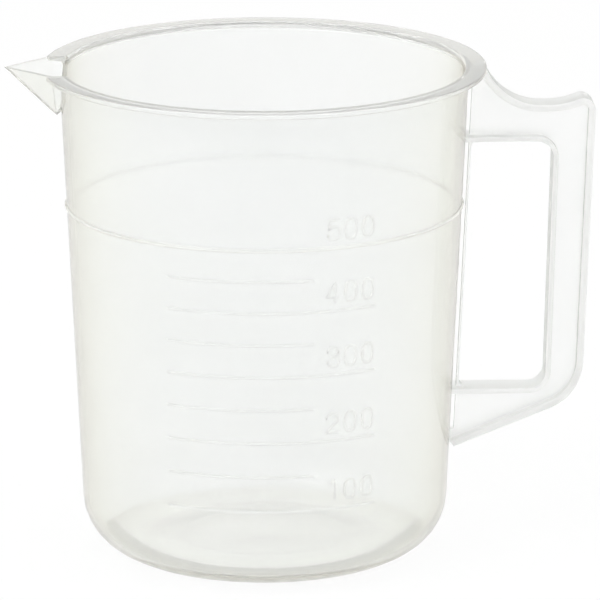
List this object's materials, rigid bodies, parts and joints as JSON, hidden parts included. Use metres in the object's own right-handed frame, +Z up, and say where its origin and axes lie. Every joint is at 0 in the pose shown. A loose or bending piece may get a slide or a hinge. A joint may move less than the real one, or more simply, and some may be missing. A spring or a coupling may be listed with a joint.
{
  "type": "measuring beaker",
  "caption": "Translucent plastic measuring beaker with a flat rim, a pointed pouring spout, a flanged loop handle and raised graduations.",
  "frame": {"origin": "on the cup's axis, in the plane that the foot ring stands on", "axes": "+Z up along the cup's axis, +X towards the handle, -X towards the pouring spout, -Y towards the graduated front"},
  "size_m": [0.1403, 0.1056, 0.1185],
  "materials": {
    "cup_plastic": "clear-milky moulded polypropylene, smooth with a soft gloss",
    "rim_plastic": "the same plastic, thicker, so a little darker and cooler at its edges",
    "base_plastic": "the same plastic, thicker and a little warmer in the rounded base",
    "handle_plastic": "the same plastic in thin ribs, smooth with a soft gloss",
    "raised_marks": "the same plastic, raised, and not coloured"
  },
  "bodies": {
    "root": {"cup_base": "base_plastic", "base_floor_ring": "base_plastic", "base_gate_boss": "base_plastic", "cup_wall": "cup_plastic", "rim_flange": "rim_plastic", "pour_spout": "cup_plastic", "handle_edge_flange": "handle_plastic", "handle_web": "handle_plastic", "handle_window_flange": "handle_plastic", "handle_root_strip": "handle_plastic", "line_100": "raised_marks", "line_150": "raised_marks", "line_200": "raised_marks", "line_250": "raised_marks", "line_300": "raised_marks", "line_350": "raised_marks", "line_400": "raised_marks", "line_450": "raised_marks", "fill_ring_500": "raised_marks", "numeral_100_1": "raised_marks", "numeral_100_2": "raised_marks", "numeral_100_3": "raised_marks", "numeral_200_1": "raised_marks", "numeral_200_2": "raised_marks", "numeral_200_3": "raised_marks", "numeral_300_1": "raised_marks", "numeral_300_2": "raised_marks", "numeral_300_3": "raised_marks", "numeral_400_1": "raised_marks", "numeral_400_2": "raised_marks", "numeral_400_3": "raised_marks", "numeral_500_1": "raised_marks", "numeral_500_2": "raised_marks", "numeral_500_3": "raised_marks"}
  },
  "joints": []
}
